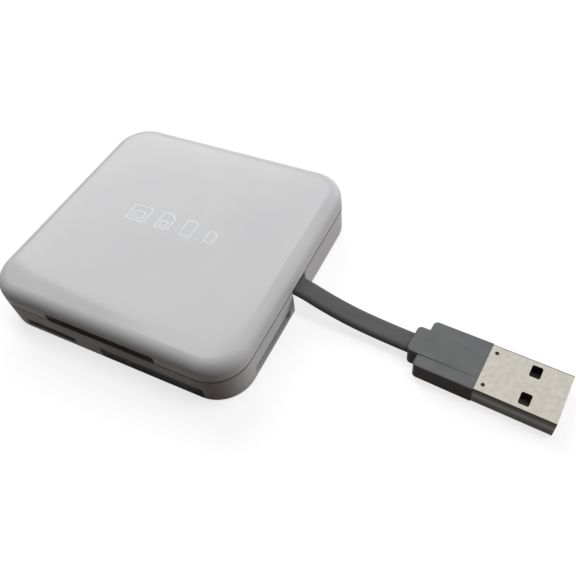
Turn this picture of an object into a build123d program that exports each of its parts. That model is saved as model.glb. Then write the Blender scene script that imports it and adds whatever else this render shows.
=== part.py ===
from build123d import *
from math import cos, radians, sin, tan
import os

# Memory card reader: a two-part snap-fit case, a board with four card sockets, a short flat cable
# and a flat plug. Millimetres. The origin is the middle of the underside, +Z is up, +X points to the
# side where the cable leaves, and the card mouths of the front are on -Y.

# Case
body_width = 65.0
body_depth = 61.7
body_height = 13.05
corner_radius = 8.6
parting_height = 8.0
groove_gap = 0.3
wall = 1.6
floor_thickness = 1.2
roof_thickness = 1.5
top_edge_radius = 2.9
bottom_edge_radius = 0.8
draft = 1.6

# Border of the lid, which falls gently to the rim: width and slope of each ring, from the rim inwards
crown_rings = ((5.2, 2.4), (1.0, 1.6), (1.0, 0.8))

# Tongue of the lid that steps into the tray
lip_height = 1.2
rim_thickness = 0.8
lip_clearance = 0.06

# Card mouths in the case: place along the face, width, lower and upper edge above the table. The
# wide one is measured from the right-hand side, the side one from the middle of its free wall.
upper_mouth_x = 0.0
upper_mouth_width = 28.9
upper_mouth_height = 2.2
wide_mouth_inset = 20.95
wide_mouth_width = 26.7
wide_mouth_low = 0.9
wide_mouth_high = 4.5
narrow_mouth_x = -15.9
narrow_mouth_width = 14.2
narrow_mouth_low = 2.05
narrow_mouth_high = 3.9
side_mouth_shift = 0.275
side_mouth_width = 16.2
side_mouth_low = 0.95
side_mouth_high = 3.65
mouth_corner = 0.35

# Card sockets: cards they take, and the moulding and sheet round each card
upper_card_width = 24.0
upper_card_space = 2.25
upper_socket_depth = 27.5
upper_pins = 9
upper_pitch = 2.5
upper_pin_width = 0.9
wide_card_width = 21.5
wide_card_space = 2.9
wide_plate = 0.85
wide_socket_depth = 26.0
wide_pins = 10
wide_pitch = 1.7
wide_pin_width = 0.7
wide_card_margin = 0.2
narrow_card_width = 11.0
narrow_card_space = 1.1
narrow_socket_depth = 14.5
narrow_pins = 8
narrow_pitch = 1.1
narrow_pin_width = 0.5
side_card_width = 12.5
side_card_space = 1.35
side_pins = 11
side_pitch = 1.0
side_pin_width = 0.45
card_clearance = 0.15
rail = 1.1
rear_wall = 1.2
sheet = 0.25
sheet_fit = 0.05
sheet_lift = 0.3
socket_gap = 0.25
lead_in = 0.5
finger_width = 1.6
finger_length = 5.0
finger_slit = 0.4

# Spring contacts of the sockets
strip = 0.15
pin_clearance = 0.1
contact_reach = 5.2
contact_bump = 0.4
contact_tip = 1.0
solder_tail = 0.9

# Board, and the posts that hold it between the covers
board_inset = 3.0
board_thickness = 1.0
board_corner = 4.0
board_gap = 0.5
post_diameter = 4.4
pin_diameter = 1.7
pin_height = 1.0
pin_bevel = 0.3
pin_fit = 0.1
front_post_inset = 5.7
front_post_back = 5.2
rear_post_inset = 8.6
press_gap = 0.1
rib_width = 1.0

# Snap hooks of the lid
hook_width = 5.0
hook_thickness = 0.9
hook_gap = 0.25
hook_drop = 2.9
left_hook_front = 12.0
left_hook_rear = 14.0
right_hook = 14.0
rear_hook = 16.0
barb = 0.5
barb_height = 0.9
barb_clearance = 0.12

# Parts on the board
chip_size = 7.0
chip_height = 1.4
chip_lift = 0.1
chip_bevel = 0.18
chip_x = -8.0
chip_y = 11.5
lead_pitch = 0.5
lead_width = 0.22
lead_reach = 1.0
lead_shoulder = 0.3
lead_heel = 0.5
leads_per_side = 12
crystal_length = 11.2
crystal_width = 4.6
crystal_height = 3.4
crystal_flange = 0.3
crystal_x = 9.0
crystal_y = 13.5
regulator_x = 20.5
regulator_y = 11.0
regulator_size = (2.9, 1.6, 1.1)
regulator_lead_reach = 0.7
capacitor_size = (2.0, 1.25, 0.9)
capacitor_x = -17.5
capacitor_pitch = 3.2
capacitor_count = 5
resistor_size = (1.6, 0.8, 0.5)
resistor_y = 20.5
resistor_pitch = 3.0
resistor_count = 8
end_cap = 0.35
cap_proud = 0.05

# Cable, its alcove in the right-hand wall, and its anchor
cable_width = 4.9
cable_thickness = 2.0
cable_drop = 0.8
cable_fit = 0.12
cable_lead = 2.0
cable_dip_reach = 8.5
cable_dip_y = -0.8
cable_dip_level = 3.85
cable_last_run = 9.25
bend_share = 0.45
alcove_width = 5.6
alcove_depth = 3.5
alcove_y = 0.1
alcove_edge = 0.7
alcove_wall = 1.0
anchor_length = 4.0
anchor_width = 6.6
anchor_below = 2.2
anchor_above = 2.0
wire_count = 4
wire_diameter = 0.8
wire_pitch = 1.05
wire_spread = 1.5
wire_reach = 4.8
wire_bend = 1.2
wire_landing = 2.64

# Plug
plug_reach = 42.45
plug_y = -3.49
plug_yaw = -4.55
overmould_length = 12.75
overmould_width = 12.2
overmould_thickness = 4.85
overmould_fall = 0.2
panel_proud = 0.05
overmould_edge = 0.35
level_slope = 0.1
boss_length = 2.45
boss_width = 6.6
boss_corner = 1.0
boss_edge = 0.2
shell_length = 16.1
shell_width = 12.0
shell_height = 4.5
shell_sheet = 0.3
shell_corner = 0.4
neck_length = 7.0
neck_width = 10.4
neck_height = 3.1
neck_corner = 0.5
tail_length = 1.5
window_length = 2.15
window_width = 2.8
window_corner = 0.4
window_from_moulding = 8.3
window_spread = 6.7
dimple_diameter = 0.85
dimple_depth = 0.15
dimple_from_moulding = 1.3
dimple_spread = 8.1
tongue_thickness = 1.95
tongue_clearance = 0.1
tongue_setback = 0.5
plug_contact_width = 1.0
plug_contact_sheet = 0.3
plug_contact_groove = 0.2
plug_contact_setback = 1.6
plug_contact_places = (-3.5, -1.0, 1.0, 3.5)

# Heights and faces that follow from these
upper_mouth_high = parting_height + upper_mouth_height
wide_mouth_x = body_width / 2 - wide_mouth_inset
lid_edge = parting_height + groove_gap / 2
rim_top = parting_height - groove_gap / 2
lip_seat = parting_height - lip_height
hook_bottom = lip_seat - hook_drop
cable_level = parting_height - cable_drop
anchor_low = cable_level - anchor_below
anchor_high = cable_level + anchor_above
board_bottom = floor_thickness + sheet + wide_card_space + wide_plate
board_top = board_bottom + board_thickness
crown = sum(width * tan(radians(slope)) for width, slope in crown_rings)
shoulder = body_height - crown
roof_inside = shoulder - roof_thickness
front_inside = -body_depth / 2 + wall + socket_gap
right_inside = body_width / 2 - wall - socket_gap
alcove_back = body_width / 2 - alcove_depth
alcove_half = alcove_width / 2 + alcove_wall
anchor_front = alcove_back - wall
anchor_back = anchor_front - anchor_length
plug_x = body_width / 2 + plug_reach
overlap = 0.4
tiny = 0.001
on_floor = (Align.CENTER, Align.CENTER, Align.MIN)


def block(x0, x1, y0, y1, z0, z1):
    """Rectangular block between two corners."""
    return Pos((x0 + x1) / 2, (y0 + y1) / 2, (z0 + z1) / 2) * Box(x1 - x0, y1 - y0, z1 - z0)


def outline(inset):
    """Plan of the case, moved inwards by an inset."""
    return RectangleRounded(body_width - 2 * inset, body_depth - 2 * inset, corner_radius - inset)


def bent_strip(points, thickness, width):
    """Strip of sheet whose middle line is a bent line in the YZ plane, with mitred bends."""
    line = [Vector(*point) for point in points]
    runs = [(end - start).normalized() for start, end in zip(line, line[1:])]
    left, right = [], []
    for index, point in enumerate(line):
        before = runs[max(index - 1, 0)]
        after = runs[min(index, len(runs) - 1)]
        normal = (Vector(-before.Y, before.X) + Vector(-after.Y, after.X)).normalized()
        reach = thickness / 2 / normal.dot(Vector(-after.Y, after.X))
        left.append(point + normal * reach)
        right.append(point - normal * reach)
    face = make_face(Polyline(*left, *reversed(right), close=True))
    return extrude(Plane.YZ * face, amount=width / 2, both=True)


# Mouths

def front_mouth(middle, width, low, high):
    """Cutter for a card mouth in the front wall."""
    face = Plane((middle, -body_depth / 2, (low + high) / 2), x_dir=(1, 0, 0), z_dir=(0, -1, 0))
    opening = RectangleRounded(width, high - low, mouth_corner)
    return extrude(face * opening, amount=wall + socket_gap, both=True)


def side_mouth(middle, width, low, high):
    """Cutter for a card mouth in the right-hand wall."""
    face = Plane((body_width / 2, middle, (low + high) / 2), x_dir=(0, 1, 0), z_dir=(1, 0, 0))
    opening = RectangleRounded(width, high - low, mouth_corner)
    return extrude(face * opening, amount=wall + socket_gap, both=True)


# Posts stand in three corners and behind the narrow socket.
front_post_x = body_width / 2 - front_post_inset
front_post_y = -body_depth / 2 + front_post_back
rear_post_x = body_width / 2 - rear_post_inset
rear_post_y = body_depth / 2 - rear_post_inset
post_places = [
    (-front_post_x, front_inside + narrow_socket_depth + socket_gap + post_diameter / 2),
    (front_post_x, front_post_y),
    (-rear_post_x, rear_post_y),
    (rear_post_x, rear_post_y),
]

# The side mouth lies between the front post and the alcove.
side_wall_low = front_post_y + post_diameter / 2
side_wall_high = alcove_y - alcove_half
side_mouth_y = (side_wall_low + side_wall_high) / 2 + side_mouth_shift

# Each hook works against a wall, given as a turn about Z, at a place along that wall.
hook_places = [
    (180, left_hook_front),
    (180, -left_hook_rear),
    (0, right_hook),
    (90, -rear_hook),
    (90, rear_hook),
]


def at_wall(turn, along):
    """Frame on the inner face of a wall: +X points out of the case."""
    half = body_width / 2 if turn in (0, 180) else body_depth / 2
    return Rot(0, 0, turn) * Pos(half - wall, along, 0)


def make_flare(side):
    """Cutter that rounds one outer edge of the alcove."""
    square = Box(2 * alcove_edge, 2 * alcove_edge, 2 * rim_top)
    return square - Pos(-alcove_edge, side * alcove_edge, 0) * Cylinder(alcove_edge, 3 * rim_top)


def make_bottom_cover():
    """Tray with mouths, rebate, corner posts, hook pockets and the cable's alcove."""
    rim = Plane((0, 0, rim_top), x_dir=(1, 0, 0), z_dir=(0, 0, -1))
    tray = extrude(rim * outline(0), amount=rim_top, taper=draft)
    tray = fillet(tray.edges().group_by(Axis.Z)[0], bottom_edge_radius)
    tray -= extrude(rim * outline(wall), amount=rim_top - floor_thickness, taper=draft)

    # Step for the lid's tongue, left out round the alcove.
    step = extrude(Plane.XY.offset(lip_seat) * outline(rim_thickness), amount=lip_height)
    step -= block(0, body_width, alcove_y - alcove_half, alcove_y + alcove_half, 0, body_height)
    tray -= step

    # Alcove: a niche in the wall and floor, with a passage for the cable and a seat for its anchor.
    wall_middle = body_width / 2 - wall / 2
    tray += block(anchor_front, wall_middle, alcove_y - alcove_half, alcove_y + alcove_half, 0, rim_top)
    seat = anchor_width / 2
    tray += block(anchor_back, anchor_front + overlap, -seat, seat, overlap, anchor_low)
    niche = alcove_width / 2
    tray -= block(alcove_back, body_width, alcove_y - niche, alcove_y + niche, -overlap, body_height)
    for side in (-1, 1):
        tray -= Pos(body_width / 2, alcove_y + side * niche, 0) * make_flare(side)
    passage = cable_width / 2 + cable_fit
    passage_low = cable_level - cable_thickness / 2 - cable_fit
    tray -= block(anchor_front - overlap, alcove_back + overlap, -passage, passage,
                  passage_low, body_height)

    tray -= front_mouth(wide_mouth_x, wide_mouth_width, wide_mouth_low, wide_mouth_high)
    tray -= front_mouth(narrow_mouth_x, narrow_mouth_width, narrow_mouth_low, narrow_mouth_high)
    tray -= side_mouth(side_mouth_y, side_mouth_width, side_mouth_low, side_mouth_high)

    for x, y in post_places:
        tray += Pos(x, y, 0) * Cylinder(post_diameter / 2, board_bottom, align=on_floor)
        pin = Cylinder(pin_diameter / 2, board_thickness + pin_height, align=on_floor)
        tray += Pos(x, y, board_bottom) * chamfer(pin.edges().group_by(Axis.Z)[-1], pin_bevel)

    half = hook_width / 2 + barb_clearance
    for turn, along in hook_places:
        tray -= at_wall(turn, along) * block(
            -hook_gap, barb - hook_gap + barb_clearance, -half, half,
            hook_bottom - barb_clearance, hook_bottom + barb_height + barb_clearance)

    # Two ribs carry the narrow socket, which sits higher than the others.
    rib_top = board_bottom - narrow_plate - narrow_card_space - sheet
    for side in (-1, 1):
        middle = narrow_mouth_x + side * narrow_card_width / 4
        tray += block(middle - rib_width / 2, middle + rib_width / 2,
                      front_inside + narrow_socket_depth / 2, front_inside + narrow_socket_depth,
                      overlap, rib_top)
    return tray


def make_hook():
    """Snap hook in the frame of its wall: root on the tongue, arm, and a barb that points out."""
    back = -hook_gap - hook_thickness
    half = hook_width / 2
    root = block(back, overlap, -half, half, lip_seat, lid_edge + wall)
    arm = block(back, -hook_gap, -half, half, hook_bottom, lip_seat)
    tooth = Polyline(
        (-hook_gap, hook_bottom), (barb - hook_gap, hook_bottom + barb_height * 2 / 3),
        (barb - hook_gap, hook_bottom + barb_height), (-hook_gap, hook_bottom + barb_height), close=True)
    return root + arm + extrude(Plane.XZ * make_face(tooth), amount=half, both=True)


def make_crown(inset):
    """Low stack of tapered plates on the lid's shoulder, each flatter than the one below."""
    level = shoulder
    plates = []
    for width, slope in crown_rings:
        rise = width * tan(radians(slope))
        plates.append(extrude(Plane.XY.offset(level) * outline(inset), amount=rise, taper=90 - slope))
        level += rise
        inset += width
    return Part() + plates


def make_top_cover():
    """Crowned lid with a rounded rim, tongue, upper mouth, hooks, posts and hold-down ribs."""
    edge = Plane.XY.offset(lid_edge)
    lid = extrude(edge * outline(0), amount=shoulder - lid_edge, taper=draft)
    lid += make_crown((shoulder - lid_edge) * tan(radians(draft)))
    rim = lid.edges().filter_by(lambda edge: abs(edge.center().Z - shoulder) < tiny)
    lid = fillet(rim, top_edge_radius)
    hollow = extrude(edge * outline(wall), amount=roof_inside - lid_edge, taper=draft)
    lid -= fillet(hollow.edges().group_by(Axis.Z)[-1], top_edge_radius - wall)

    tongue = outline(rim_thickness + lip_clearance) - outline(wall)
    tongue = extrude(Plane.XY.offset(lip_seat) * tongue, amount=lid_edge - lip_seat + overlap)
    gap = alcove_half + lip_clearance
    tongue -= block(0, body_width, alcove_y - gap, alcove_y + gap, 0, lid_edge)
    lid += tongue
    for turn, along in hook_places:
        lid += at_wall(turn, along) * make_hook()
    lid -= front_mouth(upper_mouth_x, upper_mouth_width, lip_seat - wall, upper_mouth_high)

    # Roof of the alcove, and the pad that holds the anchor down.
    cable_top = cable_level + cable_thickness / 2 + cable_fit
    half = alcove_width / 2 + wall / 2
    lid += block(anchor_front, body_width / 2 - wall + overlap, -half, half,
                 cable_top, roof_inside + overlap)
    lid += block(anchor_back, anchor_front + overlap, -anchor_width / 4, anchor_width / 4,
                 anchor_high, roof_inside + overlap)

    # Room for the upper socket under the roof, and the ribs that hold it down.
    socket_top = board_top + upper_plate + upper_card_space + sheet + press_gap
    room = upper_card_width / 2 + card_clearance + rail + sheet + socket_gap
    lid -= block(upper_mouth_x - room, upper_mouth_x + room,
                 front_inside, front_inside + upper_socket_depth + socket_gap, lip_seat, socket_top)
    for side in (-1, 1):
        middle = upper_mouth_x + side * upper_card_width / 4
        lid += block(middle - rib_width / 2, middle + rib_width / 2,
                     front_inside + upper_socket_depth / 4, front_inside + upper_socket_depth * 3 / 4,
                     socket_top, body_height - roof_thickness / 2)

    for x, y in post_places:
        post = Cylinder(post_diameter / 2, roof_inside + overlap - board_top, align=on_floor)
        hole = Cylinder(pin_diameter / 2 + pin_fit, pin_height + pin_fit, align=on_floor)
        lid += Pos(x, y, board_top) * (post - hole)
    return lid


def make_main_board():
    """Board with rounded corners, a bay for the cable's anchor and wires, and locating holes."""
    board = RectangleRounded(body_width - 2 * board_inset, body_depth - 2 * board_inset, board_corner)
    board = extrude(Plane.XY.offset(board_bottom) * board, amount=board_thickness)
    bay = alcove_half + board_gap
    bay_back = anchor_back - wire_landing - wire_diameter / 2
    board -= block(bay_back, body_width, alcove_y - bay, alcove_y + bay, 0, body_height)
    for x, y in post_places:
        board -= Pos(x, y, 0) * Cylinder(pin_diameter / 2 + pin_fit, body_height, align=on_floor)
    return board


# Card sockets. Each is made in its own frame: the mouth is at Y = 0, the card goes in along +Y, the
# board is at Z = 0 and the socket stands on it.

upper_plate = parting_height - board_top
narrow_plate = board_bottom - (narrow_mouth_low + narrow_mouth_high + narrow_card_space) / 2
side_plate = board_bottom - (side_mouth_low + side_mouth_high + side_card_space) / 2
wide_channel = wide_card_width + 2 * card_clearance
wide_socket_x = wide_mouth_x - wide_mouth_width / 2 + wide_card_margin + wide_channel / 2
wide_right = wide_socket_x + wide_channel / 2 + rail + sheet_fit + sheet
side_socket_depth = right_inside - wide_right - socket_gap
below = Rot(0, 180, 0)

sockets = {
    "upper": dict(
        place=Pos(upper_mouth_x, front_inside, board_top), card=upper_card_width,
        space=upper_card_space, plate=upper_plate, depth=upper_socket_depth,
        pins=upper_pins, pitch=upper_pitch, pin_width=upper_pin_width, tail=solder_tail),
    "wide": dict(
        place=Pos(wide_socket_x, front_inside, board_bottom) * below, card=wide_card_width,
        space=wide_card_space, plate=wide_plate, depth=wide_socket_depth,
        pins=wide_pins, pitch=wide_pitch, pin_width=wide_pin_width, tail=solder_tail),
    "narrow": dict(
        place=Pos(narrow_mouth_x, front_inside, board_bottom) * below, card=narrow_card_width,
        space=narrow_card_space, plate=narrow_plate, depth=narrow_socket_depth,
        pins=narrow_pins, pitch=narrow_pitch, pin_width=narrow_pin_width, tail=solder_tail),
    "side": dict(
        place=Pos(right_inside, side_mouth_y, board_bottom) * Rot(0, 0, 90) * below,
        card=side_card_width, space=side_card_space, plate=side_plate, depth=side_socket_depth,
        pins=side_pins, pitch=side_pitch, pin_width=side_pin_width, tail=-pin_clearance),
}


def pin_places(socket):
    """Places of a socket's contacts across its width."""
    first = -(socket["pins"] - 1) / 2 * socket["pitch"]
    return [first + index * socket["pitch"] for index in range(socket["pins"])]


def make_socket_base(socket):
    """Moulding with a floor, two rails, a rear wall, a bevelled mouth and a slot for each contact."""
    channel = socket["card"] + 2 * card_clearance
    depth, plate = socket["depth"], socket["plate"]
    height = plate + socket["space"]
    base = block(-channel / 2 - rail, channel / 2 + rail, 0, depth, 0, height)
    base -= block(-channel / 2, channel / 2, -overlap, depth - rear_wall, plate, height + overlap)
    front = base.edges().filter_by(Axis.Z).group_by(Axis.Y)[0]
    base = chamfer(front.sort_by(lambda edge: abs(edge.center().X))[:2], lead_in)
    slot_start = depth - rear_wall - contact_reach - pin_clearance
    for x in pin_places(socket):
        half = socket["pin_width"] / 2 + pin_clearance
        base -= block(x - half, x + half, slot_start, depth + overlap, -overlap, plate)
    return socket["place"] * base


def make_socket_shell(socket):
    """Folded sheet over a socket: roof with two spring fingers, two sides, and feet on the board."""
    depth = socket["depth"]
    height = socket["plate"] + socket["space"]
    half = socket["card"] / 2 + card_clearance + rail + sheet_fit
    shell = block(-half - sheet, half + sheet, 0, depth, 0, height + sheet)
    shell -= block(-half, half, -overlap, depth + overlap, -overlap, height)
    bends = shell.edges().filter_by(Axis.Y).group_by(Axis.Z)[-1]
    shell = fillet(bends, sheet)
    foot = depth / 4
    shell -= block(-2 * half, 2 * half, foot, depth - foot, -overlap, sheet_lift)
    length = min(finger_length, depth / 3)
    for side in (-1, 1):
        x = side * socket["card"] / 4
        y0, y1 = depth / 2 - length / 2, depth / 2 + length / 2
        slit = block(x - finger_width / 2 - finger_slit, x + finger_width / 2 + finger_slit,
                     y0 - finger_slit, y1, height - overlap, height + 2 * sheet)
        slit -= block(x - finger_width / 2, x + finger_width / 2, y0, y1, 0, height + 2 * sheet)
        shell -= slit
    return socket["place"] * shell


def make_socket_contacts(socket):
    """Bent spring strips: a tail on the board, a rising arm and a tip that stands in the card's way."""
    depth, plate = socket["depth"], socket["plate"]
    inside = depth - rear_wall
    bend = [
        (depth + socket["tail"], strip / 2),
        (inside, strip / 2),
        (inside - contact_reach + contact_tip, plate + contact_bump),
        (inside - contact_reach + strip, plate + contact_bump / 4),
    ]
    contact = bent_strip(bend, strip, socket["pin_width"])
    return Compound([socket["place"] * Pos(x, 0, 0) * contact for x in pin_places(socket)])


# Parts on the board

def make_controller_body():
    """Flat-pack body with bevelled top edges and a dimple at its first lead."""
    body = Box(chip_size, chip_size, chip_height, align=on_floor)
    body = chamfer(body.edges().group_by(Axis.Z)[-1], chip_bevel)
    mark = chip_size / 2 - chip_height / 2 - lead_reach / 2
    body -= Pos(-mark, -mark, chip_height) * Cylinder(lead_pitch, chip_bevel)
    return Pos(chip_x, chip_y, board_top + chip_lift) * body


def make_controller_leads():
    """Gull-wing leads on the four sides of the controller."""
    start, middle = chip_size / 2, chip_lift + chip_height / 2
    wing = [
        (start, middle),
        (start + lead_shoulder, middle),
        (start + lead_heel, strip / 2),
        (start + lead_reach, strip / 2),
    ]
    lead = bent_strip(wing, strip, lead_width)
    first = -(leads_per_side - 1) / 2 * lead_pitch
    leads = []
    for turn in (0, 90, 180, 270):
        for index in range(leads_per_side):
            side = Pos(chip_x, chip_y, board_top) * Rot(0, 0, turn)
            leads.append(side * Pos(first + index * lead_pitch, 0, 0) * lead)
    return Compound(leads)


def make_crystal():
    """Low metal can with round ends on a thin flange."""
    flange = extrude(SlotOverall(crystal_length, crystal_width), amount=crystal_flange)
    narrow = 2 * crystal_flange
    can = extrude(SlotOverall(crystal_length - narrow, crystal_width - narrow), amount=crystal_height)
    can = chamfer(can.edges().group_by(Axis.Z)[-1], crystal_flange)
    return Pos(crystal_x, crystal_y, board_top) * (flange + can)


def make_regulator():
    """Small three-lead regulator, its leads bent down to the board."""
    length, width, height = regulator_size
    body = Pos(0, 0, chip_lift) * Box(length, width, height, align=on_floor)
    body = chamfer(body.edges().group_by(Axis.Z)[-1], chip_lift)
    wing = [
        (width / 2 - chip_lift, height / 2),
        (width / 2 + regulator_lead_reach / 3, height / 2),
        (width / 2 + regulator_lead_reach / 2, strip / 2),
        (width / 2 + regulator_lead_reach, strip / 2),
    ]
    lead = bent_strip(wing, strip, 2 * lead_width)
    pitch = length / 3
    for x, turn in ((-pitch, 0), (pitch, 0), (0, 180)):
        body += Rot(0, 0, turn) * Pos(x, 0, 0) * lead
    return Pos(regulator_x, regulator_y, board_top) * body


def make_chip_part(size):
    """Block with a slightly thicker metal cap on each end, lying on the board."""
    length, width, height = size
    part = Box(length - end_cap, width - 2 * cap_proud, height - 2 * cap_proud, align=on_floor)
    part = Pos(0, 0, cap_proud) * part
    for side in (-1, 1):
        cap = Box(end_cap, width, height, align=on_floor)
        part += Pos(side * (length - end_cap) / 2, 0, 0) * cap
    return part


def make_capacitors():
    """Column of chip capacitors beside the controller."""
    first = chip_y - (capacitor_count - 1) / 2 * capacitor_pitch
    part = make_chip_part(capacitor_size)
    return Compound([Pos(capacitor_x, first + index * capacitor_pitch, board_top) * part
                     for index in range(capacitor_count)])


def make_resistors():
    """Row of chip resistors behind the controller."""
    first = -(resistor_count - 1) / 2 * resistor_pitch
    part = make_chip_part(resistor_size)
    return Compound([Pos(first + index * resistor_pitch, resistor_y, board_top) * Rot(0, 0, 90) * part
                     for index in range(resistor_count)])


# Cable

plug_place = Pos(plug_x, plug_y, 0) * Rot(0, 0, plug_yaw)
plug_middle = overmould_thickness / 2
boss_back = overmould_length + boss_length


def along_plug(distance):
    """Point on the plug's axis, a distance behind the front of its moulding."""
    turn = radians(plug_yaw)
    return (plug_x - distance * cos(turn), plug_y - distance * sin(turn), plug_middle)


cable_points = [
    (anchor_back, 0.0, cable_level),
    (alcove_back + cable_lead, 0.0, cable_level),
    (body_width / 2 + cable_dip_reach, cable_dip_y, cable_dip_level),
    along_plug(boss_back + cable_last_run),
    along_plug(boss_back),
]


def bend_radii(points):
    """Largest tangent radius that two runs allow at each inner point of a route."""
    radii = []
    for before, here, after in zip(points, points[1:], points[2:]):
        run_in, run_out = Vector(*here) - Vector(*before), Vector(*after) - Vector(*here)
        half_turn = radians(run_in.get_angle(run_out)) / 2
        radii.append(bend_share * min(run_in.length, run_out.length) / tan(half_turn))
    return radii


def make_cable():
    """Flat cable: a round-edged strip along straight runs joined by tangent arcs."""
    radii = bend_radii(cable_points)
    path = FilletPolyline(*cable_points, radius=radii)
    start = Plane(cable_points[0], x_dir=(0, 1, 0), z_dir=(1, 0, 0))
    section = start * SlotOverall(cable_width, cable_thickness)
    cable = sweep(section, path=path)
    print("cable radii", [round(radius, 1) for radius in radii], "length", round(path.length, 2))
    swept = section.area * path.length
    print("cable volume", round(cable.volume, 2), "section times length", round(swept, 2))
    return cable


def make_cable_anchor():
    """Moulded collar that traps the cable between its seat, the alcove wall and the lid's pad."""
    half = anchor_width / 2
    collar = block(anchor_back, anchor_front, -half, half, anchor_low, anchor_high)
    collar = fillet(collar.edges().filter_by(Axis.X), cable_thickness / 4)
    face = Plane((anchor_back - overlap, 0, cable_level), x_dir=(0, 1, 0), z_dir=(1, 0, 0))
    bore = extrude(face * SlotOverall(cable_width, cable_thickness), amount=anchor_length + 2 * overlap)
    return collar - bore


def make_cable_wires():
    """Insulated conductors that leave the anchor, step down and lie on the board."""
    wires = []
    rest = board_top + wire_diameter / 2
    for index in range(wire_count):
        start = (index - (wire_count - 1) / 2) * wire_pitch
        end = start * wire_spread
        path = Polyline(
            (anchor_back, start, cable_level), (anchor_back - wire_bend, start, cable_level),
            (anchor_back - wire_landing, end, rest), (anchor_back - wire_reach, end, rest))
        face = Plane((anchor_back, start, cable_level), x_dir=(0, 1, 0), z_dir=(-1, 0, 0))
        wire = sweep(face * Circle(wire_diameter / 2), path=path, transition=Transition.RIGHT)
        wires.append(wire)
    return Compound(wires)


# Plug, in its own frame: the front of the moulding is at X = 0 and the plug points along +X.

def plug_prism(width, height, corner, x0, x1):
    """Round-cornered bar along the plug's axis."""
    face = Plane((x0, 0, plug_middle), x_dir=(0, 1, 0), z_dir=(1, 0, 0))
    return extrude(face * RectangleRounded(width, height, corner), amount=x1 - x0)


def make_plug_overmould():
    """Slim moulding that falls away to the rear; a level panel on both faces ends in a boss."""
    low, high = panel_proud, overmould_thickness - panel_proud
    fall = overmould_fall
    profile = Polyline((0, low), (0, high), (-overmould_length, overmould_thickness - fall),
                       (-overmould_length, fall), close=True)
    body = extrude(Plane.XZ * make_face(profile), amount=overmould_width / 2, both=True)
    body = fillet(body.edges().filter_by(Axis.Z).group_by(Axis.X)[0], boss_corner)
    rims = body.edges().filter_by(lambda edge: edge.center().X < -overlap)
    rims = rims.filter_by(lambda edge: abs(edge.tangent_at(0.5).Z) < level_slope)
    body = fillet(rims, overmould_edge)
    panel = block(-boss_back, 0, -boss_width / 2, boss_width / 2, 0, overmould_thickness)
    panel = fillet(panel.edges().filter_by(Axis.Z).group_by(Axis.X)[0], boss_corner)
    rims = panel.edges().filter_by(lambda edge: abs(edge.tangent_at(0.5).Z) < level_slope)
    panel = fillet(rims.filter_by(lambda edge: edge.center().X < -tiny), boss_edge)
    pocket_end = -neck_length - tail_length - overlap
    pocket = plug_prism(neck_width, neck_height, neck_corner, pocket_end, overlap)
    return plug_place * (body + panel - pocket)


def make_plug_shell():
    """Folded sheet tube with a necked tail, latch windows on both broad faces and punched dimples."""
    inner_corner = shell_corner - shell_sheet
    shell = plug_prism(shell_width, shell_height, shell_corner, 0, shell_length)
    shell -= plug_prism(shell_width - 2 * shell_sheet, shell_height - 2 * shell_sheet, inner_corner,
                        shell_sheet, shell_length + overlap)
    shell += plug_prism(neck_width, neck_height, neck_corner, -neck_length, shell_sheet)
    shell -= plug_prism(neck_width - 2 * shell_sheet, neck_height - 2 * shell_sheet,
                        neck_corner - shell_sheet, -neck_length - overlap, shell_sheet + overlap)
    window = extrude(RectangleRounded(window_length, window_width, window_corner), amount=2 * shell_height)
    window_x = window_from_moulding + window_length / 2
    for side in (-1, 1):
        shell -= Pos(window_x, side * window_spread / 2, -shell_height / 2) * window
        for face in (-1, 1):
            z = plug_middle + face * shell_height / 2
            dimple = Cylinder(dimple_diameter / 2, 2 * dimple_depth)
            shell -= Pos(dimple_from_moulding, side * dimple_spread / 2, z) * dimple
    return plug_place * shell


tongue_low = plug_middle - shell_height / 2 + shell_sheet
tongue_top = tongue_low + tongue_thickness
groove_floor = tongue_top - plug_contact_groove


def make_plug_insulator():
    """Tongue in the lower half of the shell, on a block that fills the neck."""
    half = shell_width / 2 - shell_sheet - tongue_clearance
    tongue = block(shell_sheet, shell_length - tongue_setback, -half, half, tongue_low, tongue_top)
    tongue = fillet(tongue.edges().filter_by(Axis.X).group_by(Axis.Z)[0], shell_corner - shell_sheet)
    tongue += plug_prism(neck_width - 2 * shell_sheet, neck_height - 2 * shell_sheet,
                         neck_corner - shell_sheet, -neck_length, shell_sheet)
    for y in plug_contact_places:
        reach = (plug_contact_width + tongue_clearance) / 2
        tongue -= block(-neck_length - overlap, shell_length - plug_contact_setback + tongue_clearance,
                        y - reach, y + reach,
                        groove_floor, groove_floor + plug_contact_sheet + tongue_clearance)
    return plug_place * tongue


def make_plug_contacts():
    """Flat strips that lie in the tongue's grooves, with tails behind the neck."""
    strips = []
    half = plug_contact_width / 2
    for y in plug_contact_places:
        contact = block(-neck_length - tail_length, shell_length - plug_contact_setback,
                        y - half, y + half, groove_floor, groove_floor + plug_contact_sheet)
        nose = contact.edges().filter_by(Axis.Y).group_by(Axis.X)[-1].sort_by(Axis.Z)[-1]
        strips.append(plug_place * chamfer(nose, plug_contact_sheet / 2))
    return Compound(strips)


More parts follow.
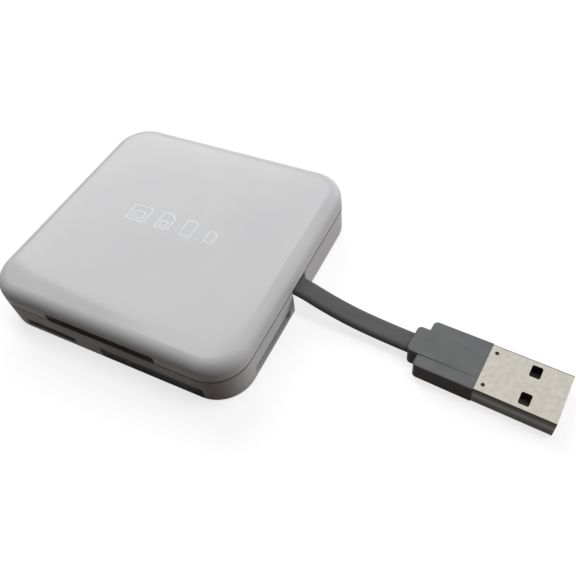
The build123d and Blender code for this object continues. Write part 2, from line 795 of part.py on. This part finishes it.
def main():
    """Make every piece and write one file for each."""
    nodes = {
        "bottom_cover": make_bottom_cover(),
        "top_cover": make_top_cover(),
        "main_board": make_main_board(),
        "controller_body": make_controller_body(),
        "controller_leads": make_controller_leads(),
        "crystal": make_crystal(),
        "regulator": make_regulator(),
        "capacitors": make_capacitors(),
        "resistors": make_resistors(),
        "cable_anchor": make_cable_anchor(),
        "cable_wires": make_cable_wires(),
        "cable": make_cable(),
        "plug_overmould": make_plug_overmould(),
        "plug_shell": make_plug_shell(),
        "plug_insulator": make_plug_insulator(),
        "plug_contacts": make_plug_contacts(),
    }
    for name, socket in sockets.items():
        nodes[f"{name}_socket_base"] = make_socket_base(socket)
        nodes[f"{name}_socket_shell"] = make_socket_shell(socket)
        nodes[f"{name}_socket_contacts"] = make_socket_contacts(socket)
    os.makedirs("parts", exist_ok=True)
    for node, shape in nodes.items():
        export_step(shape, f"parts/{node}.step")


main()
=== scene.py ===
# %% [markdown]
# # A memory card reader with a short flat cable
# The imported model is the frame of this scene: every solid is already in place, in metres, with the
# origin under the middle of the case. This lesson adds what solids lack: a camera, a cable that
# bends as one smooth line, a small print, finishes that change over a surface, and light.

# %% Load the frame
import bpy
import numpy as np
from mathutils import Matrix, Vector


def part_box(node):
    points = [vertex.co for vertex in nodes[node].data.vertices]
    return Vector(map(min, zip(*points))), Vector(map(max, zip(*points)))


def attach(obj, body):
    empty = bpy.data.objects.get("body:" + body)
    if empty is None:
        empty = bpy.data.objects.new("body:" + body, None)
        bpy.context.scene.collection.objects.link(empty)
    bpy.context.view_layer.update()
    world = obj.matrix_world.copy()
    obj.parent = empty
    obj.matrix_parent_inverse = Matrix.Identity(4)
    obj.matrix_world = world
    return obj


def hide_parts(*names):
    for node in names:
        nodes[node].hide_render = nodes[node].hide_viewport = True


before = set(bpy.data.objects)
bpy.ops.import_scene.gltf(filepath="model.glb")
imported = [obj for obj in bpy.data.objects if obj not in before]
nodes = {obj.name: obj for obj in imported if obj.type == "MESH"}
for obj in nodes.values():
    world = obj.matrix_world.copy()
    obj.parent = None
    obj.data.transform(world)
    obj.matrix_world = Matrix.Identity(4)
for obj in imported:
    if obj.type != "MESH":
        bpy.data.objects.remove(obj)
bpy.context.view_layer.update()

# %% [markdown]
# ## The camera
# The picture this follows was taken from above the front right corner, with the camera a little
# tilted. Three angles and a place say where a camera stands. They could be typed in as one rotation,
# but built from an azimuth, an elevation and a roll they can be read and changed one at a time.

# %% Camera
camera_place = (0.078545, -0.074947, 0.115555)
azimuth, elevation, roll = np.radians((33.2443, 51.1979, -8.7898))
lens_mm = 39.227
sensor_mm = 36.0
nearest_seen = 0.005

forward = np.array([-np.sin(azimuth) * np.cos(elevation),
                    np.cos(azimuth) * np.cos(elevation),
                    -np.sin(elevation)])
level = np.array([np.cos(azimuth), np.sin(azimuth), 0.0])
upright = np.cross(level, forward)
right = np.cos(roll) * level + np.sin(roll) * upright
up = np.cos(roll) * upright - np.sin(roll) * level
turn = Matrix(np.column_stack((right, up, -forward)).tolist())

camera_data = bpy.data.cameras.new("camera")
camera_data.lens = lens_mm
camera_data.sensor_width = sensor_mm
camera_data.clip_start = nearest_seen
camera = bpy.data.objects.new("camera", camera_data)
camera.matrix_world = Matrix.Translation(camera_place) @ turn.to_4x4()
bpy.context.scene.collection.objects.link(camera)
bpy.context.scene.camera = camera
print("camera looks along", forward.round(3))

# %% [markdown]
# ## The line of the cable
# A flat cable leaves a niche in the right-hand wall, dips to the table and runs into the plug. The
# solid model joins straight runs with arcs, which looks like bent wire. Here the same few points steer
# one NURBS spline instead: it passes near its points rather than through them, so it has no kinks.

# %% Line of the cable
cable_points = np.array([
    (0.0234, 0.0, 0.0072),
    (0.0310, 0.0, 0.0072),
    (0.0410, -0.0008, 0.00385),
    (0.050577, -0.001550, 0.002425),
    (0.059798, -0.002284, 0.002425),
])
steps_in_a_span = 24


def smooth_line(points):
    """Points along a NURBS spline of order 3 that has the given points as its control points."""
    curve = bpy.data.curves.new("cable_line", "CURVE")
    curve.dimensions = "3D"
    curve.resolution_u = steps_in_a_span
    spline = curve.splines.new("NURBS")
    spline.points.add(len(points) - 1)
    spline.points.foreach_set("co", np.column_stack((points, np.ones(len(points)))).ravel())
    spline.order_u = 3
    spline.use_endpoint_u = True
    holder = bpy.data.objects.new("cable_line", curve)
    mesh = bpy.data.meshes.new_from_object(holder)
    line = np.empty(3 * len(mesh.vertices), np.float32)
    mesh.vertices.foreach_get("co", line)
    bpy.data.objects.remove(holder)
    bpy.data.curves.remove(curve)
    bpy.data.meshes.remove(mesh)
    return line.reshape(-1, 3).astype(float)


cable_line = smooth_line(cable_points)
line_steps = np.linalg.norm(np.diff(cable_line, axis=0), axis=1)
print("cable length in mm:", round(1000 * line_steps.sum(), 2), "from", len(cable_line), "points")

# %% [markdown]
# ## The sheath of the cable
# The sheath is soft grey plastic, drawn flat with round edges. A curve's own bevel could give it that
# section, but it would twist with the curve. Carried along the line in numpy, the section stays level:
# its width always lies across the line, and its thickness stands at right angles to both.

# %% Mesh helpers


def add_mesh(name, points, faces):
    """Mesh object at the origin from arrays of points and of faces, shaded smooth."""
    mesh = bpy.data.meshes.new(name)
    mesh.from_pydata(points.tolist(), [], faces)
    mesh.shade_smooth()
    piece = bpy.data.objects.new(name, mesh)
    bpy.context.scene.collection.objects.link(piece)
    print(name, "has", len(mesh.polygons), "faces")
    return piece


def grid_faces(rows, columns, ring=False):
    """Quads that join each point to the next row and column: columns close on themselves, rows in a ring."""
    row, column = np.meshgrid(np.arange(rows if ring else rows - 1), np.arange(columns), indexing="ij")
    below = (row + 1) % rows
    after = (column + 1) % columns
    quads = np.stack((row * columns + column, row * columns + after,
                      below * columns + after, below * columns + column), axis=-1)
    return quads.reshape(-1, 4)


# %% Flat section


def flat_section(width, thickness, count):
    """Stadium: a circle of half the thickness, its two halves moved apart to give the width."""
    angle = np.linspace(0.0, 2 * np.pi, count, endpoint=False) + np.pi / count
    side = np.cos(angle) * thickness / 2 + np.sign(np.cos(angle)) * (width - thickness) / 2
    rise = np.sin(angle) * thickness / 2
    return side, rise


def sweep_flat(line, side, rise):
    """Carry a section along a line: side runs level across the line, rise at right angles to both."""
    along = np.gradient(line, axis=0)
    along /= np.linalg.norm(along, axis=1, keepdims=True)
    across = np.cross((0.0, 0.0, 1.0), along)
    across /= np.linalg.norm(across, axis=1, keepdims=True)
    lift = np.cross(along, across)
    return line[:, None] + side[None, :, None] * across[:, None] + rise[None, :, None] * lift[:, None]


# %% Sheath
cable_width = 0.0049
cable_thickness = 0.0020
girth_points = 64

side, rise = flat_section(cable_width, cable_thickness, girth_points)
cable_grid = sweep_flat(cable_line, side, rise)
rows = len(cable_line)
quads = grid_faces(rows, girth_points)[:, ::-1]
caps = [list(range(girth_points)), list(range((rows - 1) * girth_points, rows * girth_points))[::-1]]
cable = add_mesh("cable_sheath", cable_grid.reshape(-1, 3), quads.tolist() + caps)

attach(cable, "root")
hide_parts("cable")

# %% [markdown]
# ## The print on the lid
# A small pale print lies in the middle of the lid: a row of plain card outlines, one for each mouth, two
# of them with a smaller outline inside. Flat ink could be painted by the lid's own finish, but a real
# layer, a few hundredths of a millimetre thick, catches the light at its edges and stays a piece of its
# own. Each stroke is a low arch carried round a closed outline with round corners.

# %% Outlines of cards
stroke_points = 9
arc_points = 7


def card_corners(middle, width, height, cut):
    """Five corners of a card, against the clock, whose upper right corner is cut off."""
    x, y = middle
    half_x, half_y = width / 2, height / 2
    return np.array([(x - half_x, y - half_y), (x + half_x, y - half_y), (x + half_x, y + half_y - cut),
                     (x + half_x - cut, y + half_y), (x - half_x, y + half_y)])


def round_corners(corners, radius):
    """Each corner turns into an arc: points a radius from its centre, against the turning inward normal."""
    edge = corners - np.roll(corners, 1, axis=0)
    edge /= np.linalg.norm(edge, axis=1, keepdims=True)
    normal = edge[:, ::-1] * (-1.0, 1.0)
    next_normal = np.roll(normal, -1, axis=0)
    opening = 1.0 + (normal * next_normal).sum(axis=1, keepdims=True)
    centre = corners + radius * (normal + next_normal) / opening
    share = np.linspace(0.0, 1.0, arc_points)[None, :, None]
    inward = (1.0 - share) * normal[:, None] + share * next_normal[:, None]
    inward /= np.linalg.norm(inward, axis=2, keepdims=True)
    outline = centre[:, None] - radius * inward
    return outline.reshape(-1, 2), inward.reshape(-1, 2)


def carry_stroke(outline, inward, stroke, low, high):
    """Half an ellipse carried round an outline: the cosine goes across the stroke and the sine up."""
    angle = np.linspace(np.pi, 0.0, stroke_points)[None, :, None]
    flat = outline[:, None] + np.cos(angle) * stroke / 2 * inward[:, None]
    height = np.repeat(low + np.sin(angle) * (high - low), len(outline), axis=0)
    return np.concatenate((flat, height), axis=2)


# %% Print
lid_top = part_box("top_cover")[1][2]
ink_sunk, ink_proud = 0.00002, 0.00004
ink_low, ink_high = lid_top - ink_sunk, lid_top + ink_proud
stroke = 0.00055
# Each row: middle, width, height, cut corner and corner radius of one outline.
card_outlines = [
    ((-0.0100, 0.0010), 0.0054, 0.0048, 0.0006, 0.0005),
    ((-0.0100, 0.0006), 0.0030, 0.0020, 0.0004, 0.0003),
    ((-0.0024, 0.0010), 0.0036, 0.0048, 0.0011, 0.0005),
    ((-0.0024, 0.0002), 0.0018, 0.0018, 0.0004, 0.0003),
    ((0.0042, 0.0010), 0.0029, 0.0048, 0.0008, 0.0005),
    ((0.0104, 0.0004), 0.0023, 0.0034, 0.0007, 0.0004),
]
print_points, print_faces, first = [], [], 0
for middle, width, height, cut, radius in card_outlines:
    outline, inward = round_corners(card_corners(middle, width, height, cut), radius)
    print_points.append(carry_stroke(outline, inward, stroke, ink_low, ink_high).reshape(-1, 3))
    print_faces.append(grid_faces(len(outline), stroke_points, ring=True) + first)
    first += len(print_points[-1])
card_marks = add_mesh("card_marks", np.concatenate(print_points), np.concatenate(print_faces).tolist())
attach(card_marks, "root")
print("print:", len(card_outlines), "outlines on a lid", round(1000 * lid_top, 2), "mm high")

# %% [markdown]
# ## Finishes
# Every finish starts from one principled shader. A single colour would look like paint, because no real
# surface is that even. Pictures could bring the small changes, but noise on Object coordinates needs no
# file and no unwrapping, and it keeps its true size: its scale counts waves in a metre.

# %% Start a finish


def new_finish(name):
    """Material with one principled shader; gives the material and its shader."""
    finish = bpy.data.materials.new(name)
    finish.use_nodes = True
    return finish, finish.node_tree.nodes["Principled BSDF"]


def noise_on(finish, waves, detail=2.0, stretch=(1.0, 1.0, 1.0)):
    """Noise from 0 to 1 on Object coordinates, with so many waves in a metre."""
    tree = finish.node_tree
    place = tree.nodes.new("ShaderNodeTexCoord")
    mapping = tree.nodes.new("ShaderNodeMapping")
    mapping.inputs["Scale"].default_value = stretch
    noise = tree.nodes.new("ShaderNodeTexNoise")
    noise.inputs["Scale"].default_value = waves
    noise.inputs["Detail"].default_value = detail
    tree.links.new(place.outputs["Object"], mapping.inputs["Vector"])
    tree.links.new(mapping.outputs["Vector"], noise.inputs["Vector"])
    return noise.outputs["Fac"]


# %% Vary a finish
noise_low, noise_high = 0.3, 0.7


def spread(finish, value, low, high, socket):
    """Map a noise, which stays near its middle, to a range and feed a socket."""
    tree = finish.node_tree
    ranged = tree.nodes.new("ShaderNodeMapRange")
    ranged.inputs["From Min"].default_value = noise_low
    ranged.inputs["From Max"].default_value = noise_high
    ranged.inputs["To Min"].default_value = low
    ranged.inputs["To Max"].default_value = high
    tree.links.new(value, ranged.inputs["Value"])
    tree.links.new(ranged.outputs["Result"], socket)


def two_tones(finish, value, first, second, socket):
    """Mix two colours by a noise and feed a socket."""
    tree = finish.node_tree
    mix = tree.nodes.new("ShaderNodeMix")
    mix.data_type = "RGBA"
    mix.inputs["A"].default_value = (*first, 1.0)
    mix.inputs["B"].default_value = (*second, 1.0)
    spread(finish, value, 0.0, 1.0, mix.inputs["Factor"])
    tree.links.new(mix.outputs["Result"], socket)


def bump_from(finish, shader, value, height):
    """Bump of a given height in metres from a noise, on top of any bump that is there already."""
    tree = finish.node_tree
    bump = tree.nodes.new("ShaderNodeBump")
    bump.inputs["Strength"].default_value = 1.0
    bump.inputs["Distance"].default_value = height
    tree.links.new(value, bump.inputs["Height"])
    for link in shader.inputs["Normal"].links:
        tree.links.new(link.from_socket, bump.inputs["Normal"])
    tree.links.new(bump.outputs["Normal"], shader.inputs["Normal"])


# %% Follow a place


def plane_share(finish, axis, low, high, middle=0.0):
    """0 to 1 as the distance from a plane across an axis goes from low to high, in metres."""
    tree = finish.node_tree
    place = tree.nodes.new("ShaderNodeTexCoord")
    parts = tree.nodes.new("ShaderNodeSeparateXYZ")
    offset = tree.nodes.new("ShaderNodeMath")
    offset.operation = "SUBTRACT"
    offset.inputs[1].default_value = middle
    away = tree.nodes.new("ShaderNodeMath")
    away.operation = "ABSOLUTE"
    ranged = tree.nodes.new("ShaderNodeMapRange")
    ranged.inputs["From Min"].default_value = low
    ranged.inputs["From Max"].default_value = high
    tree.links.new(place.outputs["Object"], parts.inputs["Vector"])
    tree.links.new(parts.outputs[axis], offset.inputs[0])
    tree.links.new(offset.outputs["Value"], away.inputs[0])
    tree.links.new(away.outputs["Value"], ranged.inputs["Value"])
    return ranged.outputs["Result"]


def combine(finish, operation, first, second):
    """One number from two by a Math node."""
    tree = finish.node_tree
    result = tree.nodes.new("ShaderNodeMath")
    result.operation = operation
    tree.links.new(first, result.inputs[0])
    tree.links.new(second, result.inputs[1])
    return result.outputs["Value"]


def blend(finish, share, start, socket):
    """Feed a socket with a number that gives way to the end of the blend as a share goes from 0 to 1."""
    tree = finish.node_tree
    mix = tree.nodes.new("ShaderNodeMix")
    mix.inputs["A"].default_value = start
    tree.links.new(share, mix.inputs["Factor"])
    tree.links.new(mix.outputs["Result"], socket)
    return mix.inputs["B"]


def dress(finish, *names):
    """Give a finish to CAD nodes or new pieces."""
    for name in names:
        piece = nodes.get(name) or bpy.data.objects[name]
        piece.data.materials.clear()
        piece.data.materials.append(finish)
    print(finish.name, "is on", ", ".join(names))


# %% [markdown]
# ## White plastic
# Lid and tray are moulded in one white plastic. The tray and the walls are satin, and the top of the lid
# is polished, so it mirrors the room softly and shows the slow ripple of a moulding. Two finishes with a
# seam could do that. Here the height over the table turns satin into polish, so no edge shows. Height
# also finds the groove between lid and tray, where a painted shade in the base colour draws a dark line,
# except in the upper mouth, where it is left out.

# %% Painted shade in the groove
parting_height = 0.0080
groove_shade_full, groove_shade_end = 0.00015, 0.00020
mouth_half, mouth_depth, mouth_soft = 0.0146, 0.0030, 0.0001
front_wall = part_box("bottom_cover")[0][1]
# Painted shade: this dark colour stands in for the shadow in the groove between lid and tray.
groove_shade = (0.16, 0.13, 0.11)


def groove_shade_share(finish):
    """Share of painted shade: 1 within the groove's height beside or behind the upper mouth, and else 0."""
    level = plane_share(finish, "Z", groove_shade_end, groove_shade_full, parting_height)
    beside = plane_share(finish, "X", mouth_half, mouth_half + mouth_soft)
    behind = plane_share(finish, "Y", mouth_depth, mouth_depth + mouth_soft, front_wall)
    return combine(finish, "MINIMUM", level, combine(finish, "MAXIMUM", beside, behind))


print("dust lies at", 1000 * parting_height, "mm, the front wall is at", round(1000 * front_wall, 2), "mm")

# %% White plastic
milky, clear = (0.70, 0.70, 0.715), (0.73, 0.73, 0.74)
fine_grain = 8.0e-7


def white_plastic(name, gloss, ripple):
    """White with painted shade at the parting height, a slow ripple and a fine grain; its roughness is set
    later.
    """
    finish, shader = new_finish(name)
    tree = finish.node_tree
    tone = tree.nodes.new("ShaderNodeMix")
    tone.data_type = "RGBA"
    two_tones(finish, noise_on(finish, waves=60.0, detail=3.0), milky, clear, tone.inputs["A"])
    tone.inputs["B"].default_value = (*groove_shade, 1.0)
    tree.links.new(groove_shade_share(finish), tone.inputs["Factor"])
    tree.links.new(tone.outputs["Result"], shader.inputs["Base Color"])
    shader.inputs["Specular IOR Level"].default_value = gloss
    bump_from(finish, shader, noise_on(finish, waves=45.0, detail=1.0), height=ripple)
    bump_from(finish, shader, noise_on(finish, waves=900.0, detail=1.0), height=fine_grain)
    return finish, shader


def uneven_gloss(finish, roughness, socket):
    """Feed a socket with a roughness that wanders slowly between two values."""
    spread(finish, noise_on(finish, waves=90.0, detail=4.0), *roughness, socket)


# %% Satin tray
satin = (0.36, 0.48)

tray_white, tray_shader = white_plastic("tray_white", gloss=0.05, ripple=2.0e-5)
uneven_gloss(tray_white, satin, tray_shader.inputs["Roughness"])
dress(tray_white, "bottom_cover")

# %% Polished lid
polish_from, polish_full = 0.0125, 0.0129
wall_roughness = 0.45
polished = (0.08, 0.14)

lid_white, lid_shader = white_plastic("lid_white", gloss=0.2, ripple=1.5e-4)
polish = plane_share(lid_white, "Z", polish_from, polish_full)
top_socket = blend(lid_white, polish, wall_roughness, lid_shader.inputs["Roughness"])
uneven_gloss(lid_white, polished, top_socket)
dress(lid_white, "top_cover")

# %% [markdown]
# ## Ink
# The print is paler than the plastic under it and a little cool. Ink could have the lid's polish, but it
# dries less smooth, so fine noise makes its tone and its gloss uneven.

# %% Ink
thin_ink, full_ink = (0.90, 0.93, 0.95), (0.94, 0.96, 0.98)
ink_roughness = (0.25, 0.35)
ink_gloss = 0.2

ink, ink_shader = new_finish("pale_ink")
two_tones(ink, noise_on(ink, waves=1500.0, detail=3.0), thin_ink, full_ink,
          ink_shader.inputs["Base Color"])
spread(ink, noise_on(ink, waves=2500.0), *ink_roughness, ink_shader.inputs["Roughness"])
ink_shader.inputs["Specular IOR Level"].default_value = ink_gloss
dress(ink, "card_marks")

# %% [markdown]
# ## Grey plastic
# The sheath of the cable and the grip of the plug are soft grey plastic with a fine matt grain. The
# sheath is drawn through a die, so its noise is stretched along the cable, while the grip comes from a
# mould with an even grain. One function with a stretch serves both.

# %% Grey plastic
along_cable = (0.1, 1.0, 1.0)
even = (1.0, 1.0, 1.0)


def grey_plastic(name, first, second, gloss, rough, grain, stretch):
    """Matt grey: two near tones and a fine grain, both drawn out by the stretch, and an uneven gloss."""
    finish, shader = new_finish(name)
    two_tones(finish, noise_on(finish, waves=300.0, detail=3.0, stretch=stretch), first, second,
              shader.inputs["Base Color"])
    shader.inputs["Specular IOR Level"].default_value = gloss
    spread(finish, noise_on(finish, waves=850.0, detail=3.0), *rough, shader.inputs["Roughness"])
    bump_from(finish, shader, noise_on(finish, waves=grain, stretch=stretch), height=1.0e-5)
    return finish


sheath = grey_plastic("grey_sheath", (0.130, 0.131, 0.131), (0.158, 0.159, 0.159), gloss=0.1,
                      rough=(0.42, 0.55), grain=4000.0, stretch=along_cable)
grip = grey_plastic("grey_moulding", (0.193, 0.197, 0.199), (0.228, 0.231, 0.233), gloss=0.06,
                    rough=(0.45, 0.60), grain=6000.0, stretch=even)
dress(sheath, "cable_sheath", "cable_anchor")
dress(grip, "plug_overmould")

# %% [markdown]
# ## Plated metals
# The sockets inside are folded from bright sheet, their contacts are gilt strip, and leads are tinned.
# All are full metals, so their colour is the colour of what they mirror. A faint drawn grain comes from
# noise that is stretched along the sheet and changes only the gloss.

# %% Plated metals


def metal(name, first, second, rough, grain):
    """Plated sheet: two near tones, and a gloss that changes along a faint drawn grain."""
    finish, shader = new_finish(name)
    shader.inputs["Metallic"].default_value = 1.0
    two_tones(finish, noise_on(finish, waves=400.0, detail=4.0), first, second, shader.inputs["Base Color"])
    spread(finish, noise_on(finish, waves=1500.0, detail=3.0, stretch=grain), *rough,
           shader.inputs["Roughness"])
    return finish


steel = metal("bright_sheet", (0.62, 0.62, 0.61), (0.70, 0.70, 0.69), rough=(0.22, 0.35), grain=along_cable)
gilt = metal("gilt_strip", (0.80, 0.60, 0.25), (0.86, 0.67, 0.32), rough=(0.18, 0.28), grain=even)
tin = metal("tinned_lead", (0.66, 0.66, 0.67), (0.74, 0.74, 0.75), rough=(0.25, 0.40), grain=even)
# Painted shade: the plug's contacts are gilt darkened almost to black, standing in for the shade inside the
# plug.
contact_shade = metal("shaded_gilt", (0.09, 0.07, 0.04), (0.12, 0.095, 0.06), rough=(0.40, 0.55), grain=along_cable)
socket_names = ("upper", "wide", "narrow", "side")
dress(steel, *[f"{name}_socket_shell" for name in socket_names])
dress(gilt, *[f"{name}_socket_contacts" for name in socket_names])
dress(tin, "controller_leads", "crystal")
dress(contact_shade, "plug_contacts")

# %% [markdown]
# ## Nickel of the plug
# The plug's shell is nickel on thin sheet. Its broad faces are bright and a little cloudy. Its folded
# sides are the same nickel, but their base colour carries a painted dark reflection with one painted
# light line along it. Painting each face by hand would need marked faces, but the shell lies flat, so
# the height alone tells a broad face from a side.

# %% Sides with a painted reflection
shell_low, shell_high = (corner[2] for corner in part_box("plug_shell"))
# Painted reflection: dark tones and one lighter line on the sides stand in for what bright nickel mirrors
# there.
dark_reflection, light_reflection = (0.040, 0.038, 0.033), (0.115, 0.108, 0.094)
side_reflection_tones = [(0.0, dark_reflection), (0.35, dark_reflection), (0.61, light_reflection), (0.83, dark_reflection)]


def reflection_bands(finish, stops):
    """Bands of painted reflection from the foot of the shell, at 0, to its upper fold, at 1."""
    tree = finish.node_tree
    bands = tree.nodes.new("ShaderNodeValToRGB")
    steps = bands.color_ramp.elements
    # A new ramp has two stops already.
    for place, _ in stops[2:]:
        steps.new(place)
    for step, (place, tone) in zip(steps, stops):
        step.position = place
        step.color = (*tone, 1.0)
    tree.links.new(plane_share(finish, "Z", 0.0, shell_high - shell_low, shell_low), bands.inputs["Fac"])
    return bands.outputs["Color"]


print("shell from", round(1000 * shell_low, 3), "to", round(1000 * shell_high, 3), "mm")

# %% Nickel
half_shell = (shell_high - shell_low) / 2
fold_depth, fold_width = 1.0e-5, 8.0e-6
clouded, bright = (0.53, 0.505, 0.446), (0.59, 0.565, 0.504)
side_roughness = 0.5
face_roughness = (0.18, 0.27)


def nickel_sheet():
    """Cloudy nickel on the broad faces; sides from a little below their level get a painted reflection."""
    finish, shader = new_finish("nickel_sheet")
    tree = finish.node_tree
    shader.inputs["Metallic"].default_value = 1.0
    broad = plane_share(finish, "Z", half_shell - fold_depth, half_shell - fold_depth + fold_width,
                        shell_low + half_shell)
    tone = tree.nodes.new("ShaderNodeMix")
    tone.data_type = "RGBA"
    tree.links.new(reflection_bands(finish, side_reflection_tones), tone.inputs["A"])
    two_tones(finish, noise_on(finish, waves=900.0, detail=5.0), clouded, bright, tone.inputs["B"])
    tree.links.new(broad, tone.inputs["Factor"])
    tree.links.new(tone.outputs["Result"], shader.inputs["Base Color"])
    face_socket = blend(finish, broad, side_roughness, shader.inputs["Roughness"])
    spread(finish, noise_on(finish, waves=900.0, detail=5.0), *face_roughness, face_socket)
    bump_from(finish, shader, noise_on(finish, waves=1200.0, detail=3.0), height=fine_grain)
    return finish


dress(nickel_sheet(), "plug_shell")

# %% [markdown]
# ## Mouldings and parts inside
# Through the mouths one sees dark socket bases, and a teardown shows a green board, chips and wires. Each
# is a plain body with two near tones and a faint change of gloss, so one function makes them all.

# %% Mouldings and parts inside


def plain_body(name, first, second, rough):
    """Body with two near tones and a faint change of gloss."""
    finish, shader = new_finish(name)
    two_tones(finish, noise_on(finish, waves=500.0, detail=3.0), first, second, shader.inputs["Base Color"])
    spread(finish, noise_on(finish, waves=900.0), *rough, shader.inputs["Roughness"])
    return finish


black = plain_body("black_moulding", (0.044, 0.035, 0.031), (0.060, 0.049, 0.043), rough=(0.40, 0.55))
package = plain_body("chip_package", (0.025, 0.025, 0.027), (0.035, 0.035, 0.037), rough=(0.50, 0.65))
board = plain_body("green_board", (0.022, 0.14, 0.065), (0.03, 0.18, 0.085), rough=(0.30, 0.42))
tan = plain_body("tan_body", (0.40, 0.29, 0.18), (0.48, 0.36, 0.23), rough=(0.45, 0.60))
red = plain_body("red_wire", (0.40, 0.035, 0.03), (0.46, 0.05, 0.04), rough=(0.40, 0.50))
dress(black, "plug_insulator", *[f"{name}_socket_base" for name in socket_names])
dress(package, "controller_body", "regulator", "resistors")
dress(board, "main_board")
dress(tan, "capacitors")
dress(red, "cable_wires")

# %% [markdown]
# ## The table
# A pale table carries the shadow. Lit until it looks white, it would throw too much light on the walls,
# so it answers in two ways: the camera and mirror-like surfaces see a white of its own with the shadow
# on it, and other rays meet a dim warm surface. Far away it fades to plain white, so no horizon shows.

# %% What rays see


def seen_directly(tree):
    """1 for rays from the camera, off a mirror-like surface or through glass, and 0 for others."""
    path = tree.nodes.new("ShaderNodeLightPath")
    either = tree.nodes.new("ShaderNodeMath")
    either.operation = "MAXIMUM"
    both = tree.nodes.new("ShaderNodeMath")
    both.operation = "MAXIMUM"
    tree.links.new(path.outputs["Is Camera Ray"], either.inputs[0])
    tree.links.new(path.outputs["Is Glossy Ray"], either.inputs[1])
    tree.links.new(either.outputs["Value"], both.inputs[0])
    tree.links.new(path.outputs["Is Transmission Ray"], both.inputs[1])
    return both.outputs["Value"]


def far_share(tree, near, far):
    """0 to 1 as the distance from the middle of the table goes from near to far, in metres."""
    place = tree.nodes.new("ShaderNodeTexCoord")
    distance = tree.nodes.new("ShaderNodeVectorMath")
    distance.operation = "LENGTH"
    ranged = tree.nodes.new("ShaderNodeMapRange")
    ranged.inputs["From Min"].default_value = near
    ranged.inputs["From Max"].default_value = far
    tree.links.new(place.outputs["Object"], distance.inputs[0])
    tree.links.new(distance.outputs["Value"], ranged.inputs["Value"])
    return ranged.outputs["Result"]


# %% Pale table
table_half = 3.0
table_level = -0.00001
table_corners = np.array([(-1, -1), (1, -1), (1, 1), (-1, 1)]) * table_half
table_points = np.column_stack((table_corners, np.full(len(table_corners), table_level)))
table = add_mesh("table", table_points, [(0, 1, 2, 3)])

# %% White with a shadow
table_glow, table_shade = 0.76, (0.42, 0.42, 0.42)
plain_white = 1.0
fade_from, fade_to = 0.12, 0.5

pale = bpy.data.materials.new("pale_table")
pale.use_nodes = True
tree = pale.node_tree
tree.nodes.clear()
glow = tree.nodes.new("ShaderNodeEmission")
glow.inputs["Strength"].default_value = table_glow
shade = tree.nodes.new("ShaderNodeBsdfDiffuse")
shade.inputs["Color"].default_value = (*table_shade, 1.0)
near_white = tree.nodes.new("ShaderNodeAddShader")
tree.links.new(glow.outputs["Emission"], near_white.inputs[0])
tree.links.new(shade.outputs["BSDF"], near_white.inputs[1])
far_white = tree.nodes.new("ShaderNodeEmission")
far_white.inputs["Strength"].default_value = plain_white
fade = tree.nodes.new("ShaderNodeMixShader")
tree.links.new(far_share(tree, fade_from, fade_to), fade.inputs["Fac"])
tree.links.new(near_white.outputs["Shader"], fade.inputs[1])
tree.links.new(far_white.outputs["Emission"], fade.inputs[2])
print("the table fades to white from", fade_from, "to", fade_to, "m")

# %% Dim to other rays
table_dim = (0.15, 0.11, 0.085)

dim = tree.nodes.new("ShaderNodeBsdfDiffuse")
dim.inputs["Color"].default_value = (*table_dim, 1.0)
choose = tree.nodes.new("ShaderNodeMixShader")
tree.links.new(seen_directly(tree), choose.inputs["Fac"])
tree.links.new(dim.outputs["BSDF"], choose.inputs[1])
tree.links.new(fade.outputs["Shader"], choose.inputs[2])
surface = tree.nodes.new("ShaderNodeOutputMaterial")
tree.links.new(choose.outputs["Shader"], surface.inputs["Surface"])
table.data.materials.append(pale)
print(pale.name, "is on", table.name)

# %% [markdown]
# ## The sky
# Nothing stands behind the object, so the camera and the metal see plain white there. As light, that
# much white would flatten every shadow. The same choice by kind of ray keeps the sky's own light faint
# and leaves the lighting to the lamps.

# %% Sky
sky_light = 0.01

world = bpy.data.worlds.new("studio")
world.use_nodes = True
bpy.context.scene.world = world
tree = world.node_tree
tree.nodes.clear()
ambient = tree.nodes.new("ShaderNodeBackground")
ambient.inputs["Strength"].default_value = sky_light
white_sky = tree.nodes.new("ShaderNodeBackground")
white_sky.inputs["Color"].default_value = (1.0, 1.0, 1.0, 1.0)
white_sky.inputs["Strength"].default_value = plain_white
choose = tree.nodes.new("ShaderNodeMixShader")
tree.links.new(seen_directly(tree), choose.inputs["Fac"])
tree.links.new(ambient.outputs["Background"], choose.inputs[1])
tree.links.new(white_sky.outputs["Background"], choose.inputs[2])
surroundings = tree.nodes.new("ShaderNodeOutputWorld")
tree.links.new(choose.outputs["Shader"], surroundings.inputs["Surface"])
bpy.context.scene.view_settings.view_transform = "Standard"
print("sky as light:", sky_light, "as seen:", plain_white)

# %% [markdown]
# ## The lamps
# Three soft panels light the object. The one over it gives the largest share of the light and would only
# glare in metal, so mirror-like surfaces don't see it. The one at the back left is what the lid mirrors,
# and its near edge draws the darker band along the front of the lid. A low one at the back right lights
# the right-hand wall. Point lamps would do it with hard shadows, which a studio avoids.

# %% Lamps


def soft_panel(name, place, turn, width, depth, brightness, mirrored=True):
    """Soft panel that shines down, or sideways when turned; a brightness of 1 is that of lit white paper."""
    data = bpy.data.lights.new(name, "AREA")
    data.shape = "RECTANGLE"
    data.size, data.size_y = width, depth
    data.energy = np.pi * brightness * width * depth
    lamp = bpy.data.objects.new(name, data)
    lamp.location = place
    lamp.rotation_euler = np.radians(turn)
    lamp.visible_glossy = mirrored
    bpy.context.scene.collection.objects.link(lamp)
    print(name, "watts:", round(data.energy, 2))


soft_panel("top_lamp", place=(0.30, 0.18, 1.0), turn=(0, 0, 0), width=0.90, depth=0.36, brightness=4.0,
           mirrored=False)
soft_panel("back_lamp", place=(-0.66, 0.685, 0.8), turn=(0, 0, -18), width=0.92, depth=0.71, brightness=4.6)
soft_panel("right_lamp", place=(1.04, 0.905, 0.30), turn=(0, 90, 41), width=0.50, depth=1.30, brightness=4.2)
